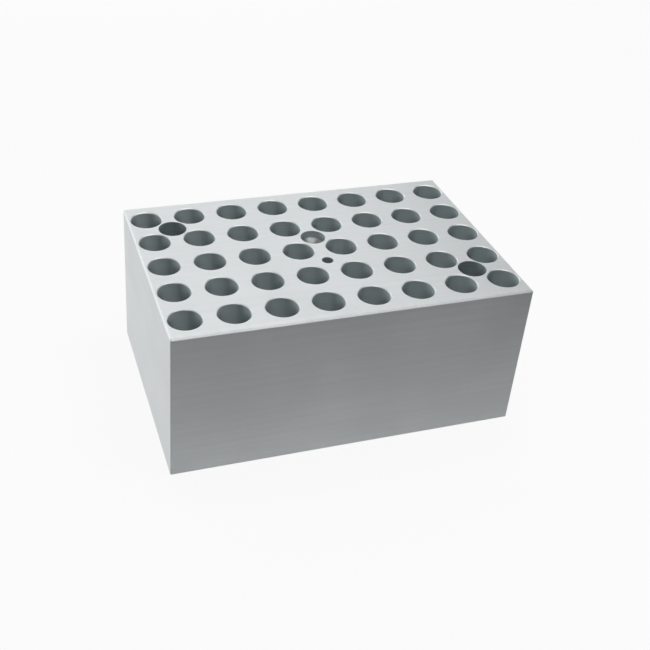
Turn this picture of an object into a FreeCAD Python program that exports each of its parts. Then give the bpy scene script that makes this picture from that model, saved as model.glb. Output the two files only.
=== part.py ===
import FreeCAD, Part
import math
import os

# Removable sample block of a dry block heater, in millimetres.
# A machined aluminium block with a grid of tube wells, a lifting thread, a probe hole and two captive
# fixing screws on a diagonal. The origin is at the centre of the base, +X along the length, +Y to the
# back and +Z up. The screws stand raised, with their tips just above the base.

# Well field
WELL_COLUMNS = 8
WELL_ROWS = 5
WELL_DIAMETER = 11.1
WELL_DEPTH = 40.0
WELL_MOUTH_CHAMFER = 0.25
WELL_FLOOR_CHAMFER = 0.5

# Walls of the block
SCREW_HOLE_WALL = 0.764
END_WALL = 1.2
SIDE_WALL = 3.95
FLOOR_UNDER_WELLS = 16.0
EDGE_CHAMFER = 0.5

# Fixing screws
SCREW_THREAD_DIAMETER = 5.0
SCREW_THREAD_PITCH = 0.8
SCREW_TURNS = 10
SCREW_TIP_GAP = 0.1
THREAD_LEFT_IN_BLOCK = 0.5
WAIST_DIAMETER = 4.0
HEAD_DIAMETER = 8.5
HEAD_HEIGHT = 5.0
SOCKET_ACROSS_FLATS = 4.0
SOCKET_DEPTH = 2.5

# Screw holes
HEAD_CLEARANCE = 0.75
SHANK_CLEARANCE = 0.25
SCREW_SEAT_THICKNESS = 6.0

# Washers on each screw
PLAIN_WASHER_DIAMETER = 9.0
PLAIN_WASHER_BORE_CLEARANCE = 0.15
PLAIN_WASHER_THICKNESS = 1.0
LOCK_WASHER_DIAMETER = 8.3
LOCK_WASHER_BORE_CLEARANCE = 0.1
LOCK_WASHER_THICKNESS = 1.6
LOCK_WASHER_SLIT = 0.6
LOCK_WASHER_SLIT_ANGLE = 25.0
RETAINING_WASHER_DIAMETER = 8.0
RETAINING_WASHER_BORE_CLEARANCE = 0.08
RETAINING_WASHER_THICKNESS = 1.0
RETAINING_WASHER_GAP = 0.05
RECESS_CEILING_GAP = 0.15
RECESS_WALL_CLEARANCE = 1.0
HEAD_SEAT_GAP = 0.05

# Lifting thread
LIFT_HOLE_DIAMETER = 9.0
LIFT_INSERT_SETBACK = 2.5
LIFT_INSERT_LENGTH = 12.0
LIFT_INSERT_FIT = 0.01
LIFT_THREAD_BORE = 5.0
LIFT_MOUTH_DIAMETER = 8.2
LIFT_MOUTH_ANGLE = 90.0
LIFT_SEAT_LEDGE = 1.0
LIFT_RUN_OUT = 4.0

# Probe hole
PROBE_HOLE_DIAMETER = 4.0
PROBE_HOLE_DEPTH = 36.0

# How far a cutting profile runs past the face that it opens
OVERCUT = 1.0

# Places and sizes that follow from the values above
WELL_RADIUS = WELL_DIAMETER / 2
HEAD_HOLE_RADIUS = HEAD_DIAMETER / 2 + HEAD_CLEARANCE
WELL_PITCH = math.sqrt(2) * (WELL_RADIUS + HEAD_HOLE_RADIUS + SCREW_HOLE_WALL)
BLOCK_LENGTH = (WELL_COLUMNS - 1) * WELL_PITCH + WELL_DIAMETER + 2 * END_WALL
BLOCK_WIDTH = (WELL_ROWS - 1) * WELL_PITCH + WELL_DIAMETER + 2 * SIDE_WALL
BLOCK_HEIGHT = FLOOR_UNDER_WELLS + WELL_DEPTH

SCREW_TRAVEL = SCREW_TURNS * SCREW_THREAD_PITCH
THREAD_TOP_Z = SCREW_TIP_GAP + SCREW_TRAVEL + THREAD_LEFT_IN_BLOCK
RETAINING_WASHER_Z = THREAD_TOP_Z + RETAINING_WASHER_GAP
RECESS_DEPTH = RETAINING_WASHER_Z + RETAINING_WASHER_THICKNESS + RECESS_CEILING_GAP
RECESS_RADIUS = RETAINING_WASHER_DIAMETER / 2 + RECESS_WALL_CLEARANCE
PLAIN_WASHER_Z = RECESS_DEPTH + SCREW_SEAT_THICKNESS
LOCK_WASHER_Z = PLAIN_WASHER_Z + PLAIN_WASHER_THICKNESS
HEAD_Z = LOCK_WASHER_Z + LOCK_WASHER_THICKNESS + HEAD_SEAT_GAP + SCREW_TRAVEL
HEAD_TOP_Z = HEAD_Z + HEAD_HEIGHT

INSERT_TOP_Z = BLOCK_HEIGHT - LIFT_INSERT_SETBACK
INSERT_BASE_Z = INSERT_TOP_Z - LIFT_INSERT_LENGTH


def grid_point(column, row):
    """A place on the well grid, counted in pitches from the middle of the block."""
    return FreeCAD.Vector(column * WELL_PITCH, row * WELL_PITCH, 0)


# The screw, lift and probe holes each stand in the middle of four wells, half a pitch off the grid.
# An odd count of rows or columns has wells on the middle line, so the middle holes step off it.
SCREW_PLACES = {
    "left": grid_point(1 - WELL_COLUMNS / 2, WELL_ROWS / 2 - 1),
    "right": grid_point(WELL_COLUMNS / 2 - 1, 1 - WELL_ROWS / 2),
}
MIDDLE_COLUMN = WELL_COLUMNS % 2 / 2
MIDDLE_ROW = WELL_ROWS % 2 / 2
LIFT_PLACE = grid_point(MIDDLE_COLUMN, MIDDLE_ROW)
PROBE_PLACE = grid_point(MIDDLE_COLUMN, MIDDLE_ROW - 1)


def turned(outline, place):
    """A solid of revolution about a vertical line through place, from (radius, height) points."""
    points = [FreeCAD.Vector(radius, 0, height) for radius, height in outline]
    face = Part.Face(Part.makePolygon(points + points[:1]))
    solid = face.revolve(FreeCAD.Vector(0, 0, 0), FreeCAD.Vector(0, 0, 1), 360)
    solid.translate(place)
    return solid


def washer(outer_radius, bore_radius, thickness, base_z, place):
    """A flat ring."""
    outline = [
        (bore_radius, base_z),
        (outer_radius, base_z),
        (outer_radius, base_z + thickness),
        (bore_radius, base_z + thickness),
    ]
    return turned(outline, place)


def well(place):
    """The cutting form of a tube well, with the broken edge of its floor and its mouth chamfer."""
    outline = [
        (0, FLOOR_UNDER_WELLS),
        (WELL_RADIUS - WELL_FLOOR_CHAMFER, FLOOR_UNDER_WELLS),
        (WELL_RADIUS, FLOOR_UNDER_WELLS + WELL_FLOOR_CHAMFER),
        (WELL_RADIUS, BLOCK_HEIGHT - WELL_MOUTH_CHAMFER),
        (WELL_RADIUS + WELL_MOUTH_CHAMFER + OVERCUT, BLOCK_HEIGHT + OVERCUT),
        (0, BLOCK_HEIGHT + OVERCUT),
    ]
    return turned(outline, place)


def probe_hole(place):
    """The cutting form of the flat-ended probe hole."""
    radius = PROBE_HOLE_DIAMETER / 2
    outline = [
        (0, BLOCK_HEIGHT - PROBE_HOLE_DEPTH),
        (radius, BLOCK_HEIGHT - PROBE_HOLE_DEPTH),
        (radius, BLOCK_HEIGHT + OVERCUT),
        (0, BLOCK_HEIGHT + OVERCUT),
    ]
    return turned(outline, place)


def screw_hole(place):
    """The stepped through hole of a fixing screw: head shaft, shank hole and recess under the block."""
    shank_radius = SCREW_THREAD_DIAMETER / 2 + SHANK_CLEARANCE
    outline = [
        (0, -OVERCUT),
        (RECESS_RADIUS, -OVERCUT),
        (RECESS_RADIUS, RECESS_DEPTH),
        (shank_radius, RECESS_DEPTH),
        (shank_radius, PLAIN_WASHER_Z),
        (HEAD_HOLE_RADIUS, PLAIN_WASHER_Z),
        (HEAD_HOLE_RADIUS, BLOCK_HEIGHT + OVERCUT),
        (0, BLOCK_HEIGHT + OVERCUT),
    ]
    return turned(outline, place)


def lift_hole(place):
    """The stepped hole of the thread insert, with a ledge under it and room below for the stud's end."""
    hole_radius = LIFT_HOLE_DIAMETER / 2
    run_out_radius = hole_radius - LIFT_SEAT_LEDGE
    outline = [
        (0, INSERT_BASE_Z - LIFT_RUN_OUT),
        (run_out_radius, INSERT_BASE_Z - LIFT_RUN_OUT),
        (run_out_radius, INSERT_BASE_Z),
        (hole_radius, INSERT_BASE_Z),
        (hole_radius, BLOCK_HEIGHT + OVERCUT),
        (0, BLOCK_HEIGHT + OVERCUT),
    ]
    return turned(outline, place)


def block_body():
    """The block with all its holes."""
    corner = FreeCAD.Vector(-BLOCK_LENGTH / 2, -BLOCK_WIDTH / 2, 0)
    bar = Part.makeBox(BLOCK_LENGTH, BLOCK_WIDTH, BLOCK_HEIGHT, corner)
    bar = bar.makeChamfer(EDGE_CHAMFER, bar.Edges)
    holes = [lift_hole(LIFT_PLACE), probe_hole(PROBE_PLACE)]
    holes += [screw_hole(place) for place in SCREW_PLACES.values()]
    for column in range(WELL_COLUMNS):
        for row in range(WELL_ROWS):
            place = grid_point(column - (WELL_COLUMNS - 1) / 2, row - (WELL_ROWS - 1) / 2)
            holes.append(well(place))
    return bar.cut(holes)


def lift_insert():
    """The thread insert, with a conical mouth that guides the lifting handle in."""
    outer_radius = LIFT_HOLE_DIAMETER / 2 - LIFT_INSERT_FIT
    bore_radius = LIFT_THREAD_BORE / 2
    mouth_radius = LIFT_MOUTH_DIAMETER / 2
    mouth_depth = (mouth_radius - bore_radius) / math.tan(math.radians(LIFT_MOUTH_ANGLE / 2))
    outline = [
        (bore_radius, INSERT_BASE_Z),
        (outer_radius, INSERT_BASE_Z),
        (outer_radius, INSERT_TOP_Z),
        (mouth_radius, INSERT_TOP_Z),
        (bore_radius, INSERT_TOP_Z - mouth_depth),
    ]
    return turned(outline, LIFT_PLACE)


def fixing_screw(place):
    """A socket head screw whose waist lets it drop through its hole until the thread stops it."""
    thread_radius = SCREW_THREAD_DIAMETER / 2
    head_radius = HEAD_DIAMETER / 2
    outline = [
        (0, SCREW_TIP_GAP),
        (thread_radius, SCREW_TIP_GAP),
        (thread_radius, THREAD_TOP_Z),
        (WAIST_DIAMETER / 2, THREAD_TOP_Z),
        (WAIST_DIAMETER / 2, HEAD_Z),
        (head_radius, HEAD_Z),
        (head_radius, HEAD_TOP_Z),
        (0, HEAD_TOP_Z),
    ]
    return turned(outline, place).cut(hexagon_socket(place))


def hexagon_socket(place):
    """The cutting form of the key socket in a screw head."""
    corner_radius = SOCKET_ACROSS_FLATS / math.sqrt(3)
    angles = [math.radians(60 * side) for side in range(6)]
    floor = HEAD_TOP_Z - SOCKET_DEPTH
    points = [
        FreeCAD.Vector(corner_radius * math.cos(a), corner_radius * math.sin(a), floor) for a in angles
    ]
    face = Part.Face(Part.makePolygon(points + points[:1]))
    socket = face.extrude(FreeCAD.Vector(0, 0, SOCKET_DEPTH + OVERCUT))
    socket.translate(place)
    return socket


def lock_washer(place):
    """A split spring washer at its flattened height, with a slanting slit through one side."""
    outer_radius = LOCK_WASHER_DIAMETER / 2
    bore_radius = SCREW_THREAD_DIAMETER / 2 + LOCK_WASHER_BORE_CLEARANCE
    ring = washer(outer_radius, bore_radius, LOCK_WASHER_THICKNESS, LOCK_WASHER_Z, place)
    slit_height = LOCK_WASHER_THICKNESS + 2 * OVERCUT
    slit = Part.makeBox(
        outer_radius + OVERCUT,
        LOCK_WASHER_SLIT,
        slit_height,
        FreeCAD.Vector(0, -LOCK_WASHER_SLIT / 2, -slit_height / 2),
    )
    slit.rotate(FreeCAD.Vector(0, 0, 0), FreeCAD.Vector(1, 0, 0), LOCK_WASHER_SLIT_ANGLE)
    slit.translate(place + FreeCAD.Vector(0, 0, LOCK_WASHER_Z + LOCK_WASHER_THICKNESS / 2))
    return ring.cut(slit)


def plain_washer(place):
    """The flat washer that keeps the spring washer off the soft metal."""
    bore_radius = SCREW_THREAD_DIAMETER / 2 + PLAIN_WASHER_BORE_CLEARANCE
    outer_radius = PLAIN_WASHER_DIAMETER / 2
    return washer(outer_radius, bore_radius, PLAIN_WASHER_THICKNESS, PLAIN_WASHER_Z, place)


def retaining_washer(place):
    """The ring on the waist that the thread can't pull through the shank hole."""
    bore_radius = WAIST_DIAMETER / 2 + RETAINING_WASHER_BORE_CLEARANCE
    outer_radius = RETAINING_WASHER_DIAMETER / 2
    return washer(outer_radius, bore_radius, RETAINING_WASHER_THICKNESS, RETAINING_WASHER_Z, place)


def build():
    """All the pieces by node name."""
    pieces = {"block_body": block_body(), "lift_insert": lift_insert()}
    makers = {
        "fixing_screw": fixing_screw,
        "lock_washer": lock_washer,
        "plain_washer": plain_washer,
        "retaining_washer": retaining_washer,
    }
    for side, place in SCREW_PLACES.items():
        for name, make in makers.items():
            pieces[f"{name}_{side}"] = make(place)
    return pieces


os.makedirs("parts", exist_ok=True)
for node, shape in build().items():
    shape.exportStep(f"parts/{node}.step")
    print(node, shape.isValid(), len(shape.Solids), round(shape.Volume, 3))
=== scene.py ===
"""Looks of the sample block: a milled aluminium block with its thread insert, fixing screws and washers.

The block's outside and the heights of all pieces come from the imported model. The other sizes are fields
of the classes. Shapes are worked out in millimetres and put into metres when a mesh is made.
"""

import logging
import math
from dataclasses import dataclass, field
from enum import Enum, IntEnum
from typing import Sequence

import bmesh
import bpy
import numpy as np
from mathutils import Matrix, Vector


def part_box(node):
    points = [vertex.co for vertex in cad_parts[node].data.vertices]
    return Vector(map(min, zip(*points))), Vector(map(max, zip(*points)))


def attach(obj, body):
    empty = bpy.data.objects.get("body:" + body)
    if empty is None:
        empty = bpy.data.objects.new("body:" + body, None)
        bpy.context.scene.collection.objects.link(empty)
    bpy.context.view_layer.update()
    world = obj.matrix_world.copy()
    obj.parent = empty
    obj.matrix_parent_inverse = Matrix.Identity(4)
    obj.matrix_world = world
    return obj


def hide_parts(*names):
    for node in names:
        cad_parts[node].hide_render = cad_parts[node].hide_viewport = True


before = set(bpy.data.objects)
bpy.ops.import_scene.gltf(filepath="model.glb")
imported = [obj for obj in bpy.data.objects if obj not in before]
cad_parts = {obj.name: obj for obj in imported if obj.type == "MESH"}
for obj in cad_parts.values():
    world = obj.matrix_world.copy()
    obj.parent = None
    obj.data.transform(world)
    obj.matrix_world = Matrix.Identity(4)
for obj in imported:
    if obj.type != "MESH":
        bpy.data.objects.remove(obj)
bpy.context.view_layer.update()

MM = 0.001
LAY_MAP = "lay"
EDGE_MAP = "edge"
LOG = logging.getLogger("sample_block")

Colour = tuple[float, float, float]
Place = tuple[float, float, float]
Socket = bpy.types.NodeSocket
Material = bpy.types.Material
Piece = bpy.types.Object


class Zone(IntEnum):
    """Which tool left a face. The value is the number of the material slot on the piece."""

    FACE = 0
    BORE = 1
    EDGE = 2
    FLANK = 3
    DRILL = 4


class Side(Enum):
    """The two fixing screws, by the end of the block that they stand at."""

    LEFT = "left"
    RIGHT = "right"


class Slot(Enum):
    """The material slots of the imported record."""

    ALUMINIUM = "machined_aluminium"
    STEEL = "stainless_steel"
    SPRING = "spring_steel"
    POLYMER = "white_polymer"


# Surfaces


@dataclass(frozen=True)
class Patch:
    """A surface sampled on a grid of two parameters.

    Attributes:
        points: Places in millimetres, shaped (rows, columns, 3).
        lay: Distances along and across the tool marks in millimetres, shaped (rows, columns, 2).
        edge: Nearness to a sharp edge from 0 to 1, shaped (rows, columns).
        zone: The tool that left the surface.
    """

    points: np.ndarray
    lay: np.ndarray
    edge: np.ndarray
    zone: Zone = Zone.FACE

    def quads(self) -> np.ndarray:
        """Lists the grid's faces.

        Returns:
            Corner numbers, four to a row.
        """
        index = np.arange(self.edge.size).reshape(self.edge.shape)
        corners = [index[:-1, :-1], index[:-1, 1:], index[1:, 1:], index[1:, :-1]]
        return np.stack(corners, axis=-1).reshape(-1, 4)


def turn_angles(segments: int) -> np.ndarray:
    """Angles of one full turn, with the first repeated at the end."""
    return np.linspace(0.0, 2.0 * math.pi, segments + 1)


def unit_ways(angle: np.ndarray | float) -> np.ndarray:
    """Directions in plan at the given angles from +X, each one long."""
    return np.stack([np.cos(angle), np.sin(angle)], axis=-1)


def running_total(steps: Sequence[float] | np.ndarray) -> np.ndarray:
    """The sum of the steps before each point of a line, 0 at the first."""
    return np.concatenate([[0.0], np.cumsum(steps)])


def line_distance(points: np.ndarray) -> np.ndarray:
    """How far along a line of points each of them lies."""
    return running_total(np.linalg.norm(np.diff(points, axis=0), axis=-1))


def about_axis(
    centre: Sequence[float], radius: np.ndarray, angle: np.ndarray, height: np.ndarray
) -> np.ndarray:
    """Points at the given radii, angles and heights about a vertical axis."""
    return np.concatenate([centre + radius[..., None] * unit_ways(angle), height[..., None]], axis=-1)


def swept(
    radius: np.ndarray,
    height: np.ndarray,
    centre: Sequence[float],
    zone: Zone = Zone.FACE,
    edge: Sequence[float] | float = 0.0,
) -> Patch:
    """A surface about a vertical axis whose radius and height depend on the ring and the turn angle.

    The point of ring i at angle a is (radius * cos a, radius * sin a, height) from the axis. The tool
    marks run around the axis, so the lay is arc length at the largest radius along, and distance down the
    profile across.

    Args:
        radius: Radii in millimetres, shaped (rings, segments + 1).
        height: Heights in millimetres, same shape or one to a ring, shaped (rings, 1).
        centre: The axis in plan.
        zone: The tool that left the surface.
        edge: Nearness to a sharp edge, per ring or for all.

    Returns:
        The patch.
    """
    shape = radius.shape
    height = np.broadcast_to(height, shape)
    angle = turn_angles(shape[1] - 1)
    down = running_total(np.hypot(np.diff(radius, axis=0), np.diff(height, axis=0)).mean(axis=1))
    around = np.broadcast_to(angle * radius.max(), shape)
    lay = np.stack([around, np.broadcast_to(down[:, None], shape)], axis=-1)
    worn = np.broadcast_to(np.broadcast_to(edge, shape[:1])[:, None], shape)
    return Patch(about_axis(centre, radius, angle, height), lay, worn, zone)


def turned(
    profile: Sequence[tuple[float, float]],
    centre: Sequence[float],
    segments: int,
    zone: Zone = Zone.FACE,
    edge: Sequence[float] | float = 0.0,
) -> Patch:
    """A profile of (radius, height) points turned about a vertical axis, the same at every angle.

    Args:
        profile: Radii and heights in millimetres.
        centre: The axis in plan.
        segments: Steps in a full turn.
        zone: The tool that left the surface.
        edge: Nearness to a sharp edge, per point or for all.

    Returns:
        The patch.
    """
    radius, height = np.asarray(profile, float).T[..., None]
    return swept(np.repeat(radius, segments + 1, axis=1), height, centre, zone, edge)


def rounded_section(inner: float, outer: float, low: float, high: float, corner: float) -> np.ndarray:
    """The closed outline of a ring's section: a rectangle whose corners are quarter circles.

    Args:
        inner: Bore radius.
        outer: Outside radius.
        low: Height of the underside.
        high: Height of the upper side.
        corner: Radius of the corners.

    Returns:
        (radius, height) points, with the first repeated at the end.
    """
    steps = 4
    sweep = np.linspace(0.0, math.pi / 2, steps + 1)
    left, right = inner + corner, outer - corner
    bottom, top = low + corner, high - corner
    hubs = [(right, top), (left, top), (left, bottom), (right, bottom)]
    arcs = [hub + corner * unit_ways(sweep + turn * math.pi / 2) for turn, hub in enumerate(hubs)]
    return np.concatenate([*arcs, arcs[0][:1]])


@dataclass(frozen=True)
class Thread:
    """A right-hand thread on a shank or in a bore.

    Attributes:
        radius: Radius of the roots on a shank, or of the crests in a bore.
        depth: Depth of the thread.
        pitch: Rise in a turn.
        fades: Turns over which it grows at its start and dies out at its end.
        inner: Whether it is cut into a bore.
        gain: Slope of the flanks, where 1 is a plain triangle wave.
        root: How far the wave is lowered, which cuts the grooves flat.
        rings: Rings of the surface in a turn.
    """

    radius: float
    depth: float
    pitch: float
    fades: tuple[float, float]
    inner: bool = False
    gain: float = 1.35
    root: float = 0.1
    rings: int = 10

    def wall(self, centre: np.ndarray, start: float, end: float, segments: int, zone: Zone) -> Patch:
        """The threaded wall between two heights.

        The phase is height over pitch less the share of a turn. The ridge is a triangle wave of that phase
        with its top and bottom cut flat, 0 in the groove and 1 on the crest. The radius grows by the depth
        times the ridge on a shank, and times the rest of 1 in a bore, less towards both ends.

        Args:
            centre: The axis in plan.
            start: Height of its first ring.
            end: Height of its last ring.
            segments: Steps in a full turn.
            zone: The tool that left it.

        Returns:
            The patch.
        """
        height = np.linspace(start, end, int(abs(end - start) / self.pitch * self.rings))[:, None]
        phase = height / self.pitch - turn_angles(segments) / (2.0 * math.pi)
        wave = np.abs(phase % 1.0 - 0.5) * 2.0
        ridge = np.clip(self.gain * wave - self.root, 0.0, 1.0)
        growth = self.depth * (1.0 - ridge if self.inner else ridge)
        for tip, turns in zip((start, end), self.fades):
            growth = growth * np.clip(np.abs(height - tip) / (turns * self.pitch), 0.0, 1.0)
        return swept(self.radius + growth, height, centre, zone)


# Finishes


@dataclass
class Wiring:
    """Short hand for placing and joining shader nodes in one tree."""

    tree: bpy.types.NodeTree

    def add(self, kind: str, **settings: object) -> bpy.types.Node:
        """A new node with its settings.

        Args:
            kind: The node's type.
            settings: Its properties by name.

        Returns:
            The node.
        """
        node = self.tree.nodes.new(kind)
        for key, value in settings.items():
            setattr(node, key, value)
        return node

    def feed(self, value: object, target: Socket) -> None:
        """A link where value is a socket, and otherwise the socket's own value.

        Args:
            value: A socket or a plain value.
            target: The input that takes it.
        """
        if isinstance(value, Socket):
            self.tree.links.new(value, target)
        else:
            target.default_value = value

    def give(self, node: bpy.types.Node, values: dict[str | int, object]) -> bpy.types.Node:
        """Feeds a node's inputs by name or number.

        Args:
            node: The node.
            values: A socket or a plain value for each input.

        Returns:
            The same node.
        """
        for title, value in values.items():
            self.feed(value, node.inputs[title])
        return node

    def math(self, operation: str, first: object, second: object, clamp: bool = False) -> Socket:
        """The result of a Math node on sockets or numbers."""
        node = self.add("ShaderNodeMath", operation=operation, use_clamp=clamp)
        return self.give(node, {0: first, 1: second}).outputs[0]

    def scaled(self, vector: Socket, factors: Socket) -> Socket:
        """A vector multiplied by another, number by number."""
        node = self.add("ShaderNodeVectorMath", operation="MULTIPLY")
        return self.give(node, {0: vector, 1: factors}).outputs[0]

    def noise(self, vector: Socket, scale: float, detail: float, rough: float) -> Socket:
        """The value of a Noise Texture.

        Args:
            vector: Where it is read.
            scale: Its scale.
            detail: Its number of finer layers.
            rough: How strong the finer layers are.

        Returns:
            The noise, from about 0 to 1.
        """
        node = self.add("ShaderNodeTexNoise", noise_dimensions="3D")
        self.give(node, {"Vector": vector, "Scale": scale, "Detail": detail, "Roughness": rough})
        return node.outputs["Fac"]

    def ranged(self, value: Socket, low: float, high: float, to_low: float, to_high: float) -> Socket:
        """A value taken smoothly from one range to another, held at the ends.

        Args:
            value: The value.
            low: Where the range begins.
            high: Where it ends.
            to_low: The result at low.
            to_high: The result at high.

        Returns:
            The result.
        """
        node = self.add("ShaderNodeMapRange", interpolation_type="SMOOTHSTEP")
        ends = {"From Min": low, "From Max": high, "To Min": to_low, "To Max": to_high}
        return self.give(node, {"Value": value, **ends}).outputs["Result"]

    def blend(self, factor: Socket, first: Socket | Colour, second: Socket | Colour) -> Socket:
        """A colour between two. The Mix node's colours are its inputs 6 and 7 and its output 2.

        Args:
            factor: 0 for the first colour, 1 for the second.
            first: A socket or a plain colour.
            second: A socket or a plain colour.

        Returns:
            The colour.
        """
        node = self.add("ShaderNodeMix", data_type="RGBA")
        pair = [(*shade, 1.0) if isinstance(shade, tuple) else shade for shade in (first, second)]
        return self.give(node, {"Factor": factor, 6: pair[0], 7: pair[1]}).outputs[2]

    def relief(self, height: Socket, strength: float, depth: float) -> Socket:
        """The normal of a surface with a relief.

        Args:
            height: The relief, from 0 to 1.
            strength: How far it shows.
            depth: Its depth in metres.

        Returns:
            The normal.
        """
        node = self.add("ShaderNodeBump")
        values = {"Height": height, "Strength": strength, "Distance": depth}
        return self.give(node, values).outputs["Normal"]

    def use(self, group: bpy.types.NodeTree, **inputs: object) -> bpy.types.Node:
        """A placed node group, with its inputs fed by name."""
        node = self.add("ShaderNodeGroup", node_tree=group)
        return self.give(node, {title.capitalize(): value for title, value in inputs.items()})


@dataclass
class Effect(Wiring):
    """A shader node group that several finishes share, open for wiring.

    Attributes:
        given: The group's inputs, by name.
        result: The group's outputs, by name.
    """

    given: bpy.types.NodeOutputs
    result: bpy.types.NodeInputs

    @classmethod
    def open(cls, name: str, inputs: dict[str, float | None], outputs: Sequence[str]) -> "Effect":
        """An empty group with named sockets.

        Args:
            name: The group's name.
            inputs: Default of each value input by name, None for a vector.
            outputs: Names of the value outputs.

        Returns:
            The group, ready for its nodes.
        """
        tree = bpy.data.node_groups.new(name, "ShaderNodeTree")
        for title, value in inputs.items():
            kind = "NodeSocketVector" if value is None else "NodeSocketFloat"
            socket = tree.interface.new_socket(title, in_out="INPUT", socket_type=kind)
            if value is not None:
                socket.default_value = value
        for title in outputs:
            tree.interface.new_socket(title, in_out="OUTPUT", socket_type="NodeSocketFloat")
        source, sink = tree.nodes.new("NodeGroupInput"), tree.nodes.new("NodeGroupOutput")
        return cls(tree, source.outputs, sink.inputs)


@dataclass
class FinishKit:
    """The effects that several finishes share, each a node group built once.

    Attributes:
        streak_share: Share of the fine streaks in the tool marks. The rest is broad bands.
        band_scale: Scale of the broad bands, where the streaks have 1.
        cloud_edges: Noise at which a smudge begins and is full.
        grit_scale: Scale of the grit that breaks up rubbed edges.
        grit_share: How far the grit lifts the nearness to an edge.
        rub_edges: Lifted nearness at which rubbing begins and is full.
        tool_marks: The group of the tool marks.
        handling: The group of the smudges.
        edge_wear: The group of the rubbed edges.
    """

    streak_share: float = 0.6
    band_scale: float = 0.11
    cloud_edges: tuple[float, float] = (0.38, 0.68)
    grit_scale: float = 700.0
    grit_share: float = 0.9
    rub_edges: tuple[float, float] = (0.75, 1.35)
    tool_marks: bpy.types.NodeTree = field(init=False)
    handling: bpy.types.NodeTree = field(init=False)
    edge_wear: bpy.types.NodeTree = field(init=False)

    def __post_init__(self) -> None:
        """Builds the groups."""
        self.tool_marks = self.build_tool_marks()
        self.handling = self.build_handling()
        self.edge_wear = self.build_edge_wear()

    def build_tool_marks(self) -> bpy.types.NodeTree:
        """Streaks that are long along the lay and fine across it, alone and mixed with broad bands.

        Returns:
            The group.
        """
        inputs = {"Lay": None, "Length": 30.0, "Width": 0.3}
        marks = Effect.open("tool_marks", inputs, ("Streak", "Marks"))
        factors = marks.add("ShaderNodeCombineXYZ")
        for axis, title in (("X", "Length"), ("Y", "Width")):
            marks.feed(marks.math("DIVIDE", 1.0, marks.given[title]), factors.inputs[axis])
        fine = marks.scaled(marks.given["Lay"], factors.outputs[0])
        streak = marks.noise(fine, 1.0, detail=4.0, rough=0.65)
        band = marks.noise(fine, self.band_scale, detail=3.0, rough=0.55)
        fine_part = marks.math("MULTIPLY", streak, self.streak_share)
        broad_part = marks.math("MULTIPLY", band, 1.0 - self.streak_share)
        marks.feed(streak, marks.result["Streak"])
        marks.feed(marks.math("ADD", fine_part, broad_part), marks.result["Marks"])
        return marks.tree

    def build_handling(self) -> bpy.types.NodeTree:
        """Soft cloudy marks from cleaning and handling, from a large noise on the object's own place.

        Returns:
            The group.
        """
        cloth = Effect.open("handling_marks", {"Place": None, "Size": 0.03}, ("Smudge",))
        scale = cloth.math("DIVIDE", 1.0, cloth.given["Size"])
        cloud = cloth.noise(cloth.scaled(cloth.given["Place"], scale), 1.0, detail=5.0, rough=0.6)
        cloth.feed(cloth.ranged(cloud, *self.cloud_edges, 0.0, 1.0), cloth.result["Smudge"])
        return cloth.tree

    def build_edge_wear(self) -> bpy.types.NodeTree:
        """Rubbed edges: nearness to an edge, broken up by a fine noise.

        Returns:
            The group.
        """
        rub = Effect.open("edge_wear", {"Place": None, "Edge": 0.0}, ("Rubbed",))
        grit = rub.noise(rub.given["Place"], self.grit_scale, detail=3.0, rough=0.6)
        lifted = rub.math("ADD", rub.given["Edge"], rub.math("MULTIPLY", grit, self.grit_share))
        rub.feed(rub.ranged(lifted, *self.rub_edges, 0.0, 1.0), rub.result["Rubbed"])
        return rub.tree


@dataclass(frozen=True)
class Finish:
    """What every finish has.

    Attributes:
        name: The material's name.
        colour: Its clean colour.
    """

    name: str
    colour: Colour

    def start(self) -> tuple[Material, Wiring, bpy.types.Node, Socket]:
        """A new material to be wired.

        Returns:
            The material, its wiring, its Principled node and the object's own coordinates.
        """
        made = bpy.data.materials.new(self.name)
        made.use_nodes = True
        wire = Wiring(made.node_tree)
        place = wire.add("ShaderNodeTexCoord").outputs["Object"]
        return made, wire, made.node_tree.nodes["Principled BSDF"], place

    def lay(self, wire: Wiring) -> Socket:
        """The piece's map of distances along and across its tool marks."""
        return wire.add("ShaderNodeUVMap", uv_map=LAY_MAP).outputs["UV"]


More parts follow.
